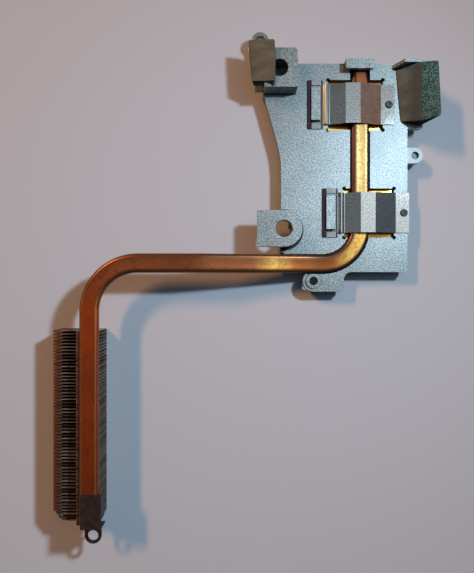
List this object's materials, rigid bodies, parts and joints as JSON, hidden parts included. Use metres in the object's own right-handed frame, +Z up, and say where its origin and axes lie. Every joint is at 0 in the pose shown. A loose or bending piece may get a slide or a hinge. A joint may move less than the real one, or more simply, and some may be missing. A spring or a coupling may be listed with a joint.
{
  "type": "laptop heat sink",
  "caption": "Laptop heat sink: cast carrier plate with a bent flattened heat pipe, clipped copper contact blocks and a fin stack.",
  "frame": {"origin": "centre of the elbow block's contact face, on the plane that the contact blocks and the fins stand on", "axes": "+Z up from the contact faces, +Y along the plate towards the pipe's sealed tip, +X across the plate away from the fins"},
  "size_m": [0.1543, 0.2092, 0.016],
  "materials": {
    "cast_aluminium": "sandblasted casting",
    "copper_pipe": "tarnished copper",
    "copper_block": "machined copper",
    "spring_steel": "rolled sheet",
    "rivet_metal": "pressed",
    "fin_metal": "dull sheet",
    "bracket_metal": "dark oxidised sheet",
    "left_gasket_cloth": "metallised cloth over foam",
    "right_gasket_cloth": "knitted cloth over foam"
  },
  "bodies": {
    "root": {"base_plate": "cast_aluminium", "heat_pipe": "copper_pipe", "elbow_block": "copper_block", "tip_block": "copper_block", "elbow_clip": "spring_steel", "tip_clip": "spring_steel", "clip_rivets": "rivet_metal", "fin_stack": "fin_metal", "end_bracket": "bracket_metal", "left_gasket": "left_gasket_cloth", "right_gasket": "right_gasket_cloth"}
  },
  "joints": []
}
